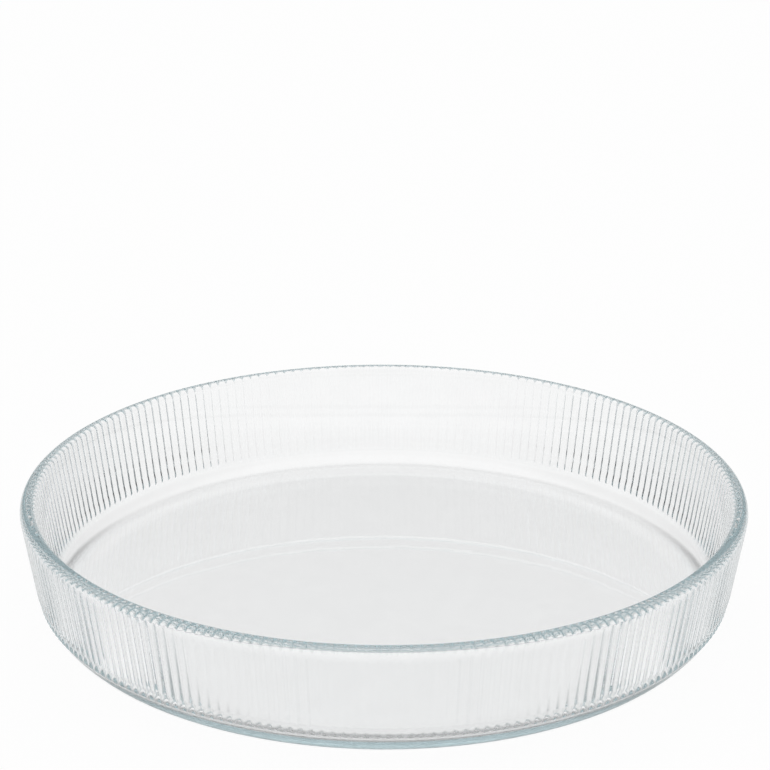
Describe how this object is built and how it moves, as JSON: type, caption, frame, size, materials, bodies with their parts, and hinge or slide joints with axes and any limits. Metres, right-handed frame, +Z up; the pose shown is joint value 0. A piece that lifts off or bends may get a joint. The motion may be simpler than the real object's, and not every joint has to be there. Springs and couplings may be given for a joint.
{
  "type": "pie dish",
  "caption": "Round straight-sided pie dish in clear pressed glass, with a flat floor, a soft foot corner, a rounded rim and fine upright reeds round the outside of its wall.",
  "frame": {"origin": "centre of the base, on the plane that the dish stands on", "axes": "+Z up along the dish's axis, out of its open mouth; +X and +Y lie in the standing plane"},
  "size_m": [0.3, 0.3, 0.0515],
  "materials": {
    "clear_glass": "polished clear pressed glass with a faint blue-green tint in its thick edges"
  },
  "bodies": {
    "root": {"glass_dish": "clear_glass"}
  },
  "joints": []
}
